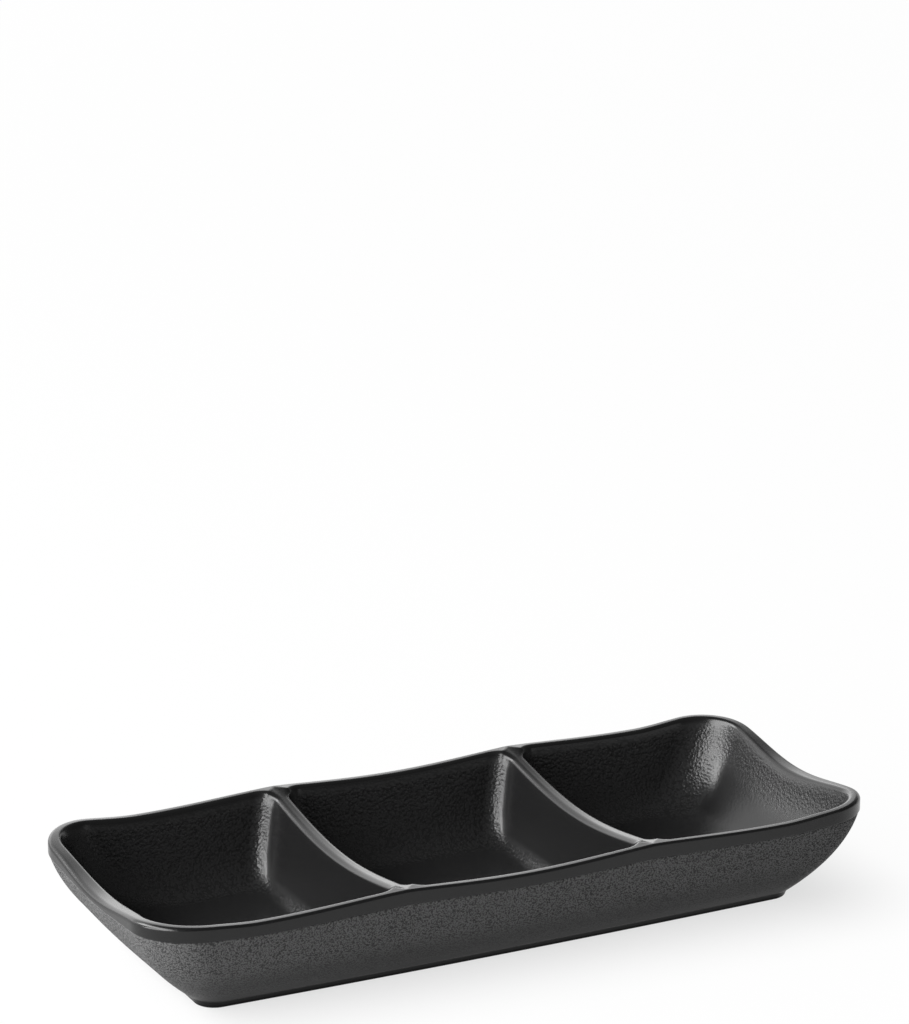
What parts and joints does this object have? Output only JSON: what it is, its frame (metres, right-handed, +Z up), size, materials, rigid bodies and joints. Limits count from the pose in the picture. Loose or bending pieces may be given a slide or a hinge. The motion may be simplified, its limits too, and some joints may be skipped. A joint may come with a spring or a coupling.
{
  "type": "divided dip dish",
  "caption": "Long shallow dip dish: scooped wells side by side, a waving rim that runs into low dividers, a smooth black liner and a grained outside wall on a foot ring.",
  "frame": {"origin": "on the table, under the middle of the dish", "axes": "+X along the dish, +Z up, the front of the dish towards -Y"},
  "size_m": [0.3, 0.121, 0.0413],
  "materials": {
    "tray_satin_black": "satin black, smooth on the rim, band and dividers, finely hammered inside the wells",
    "shell_grained_black": "charcoal black with a fine sand grain, smooth on the foot"
  },
  "bodies": {
    "root": {"inner_tray": "tray_satin_black", "outer_shell": "shell_grained_black"}
  },
  "joints": []
}
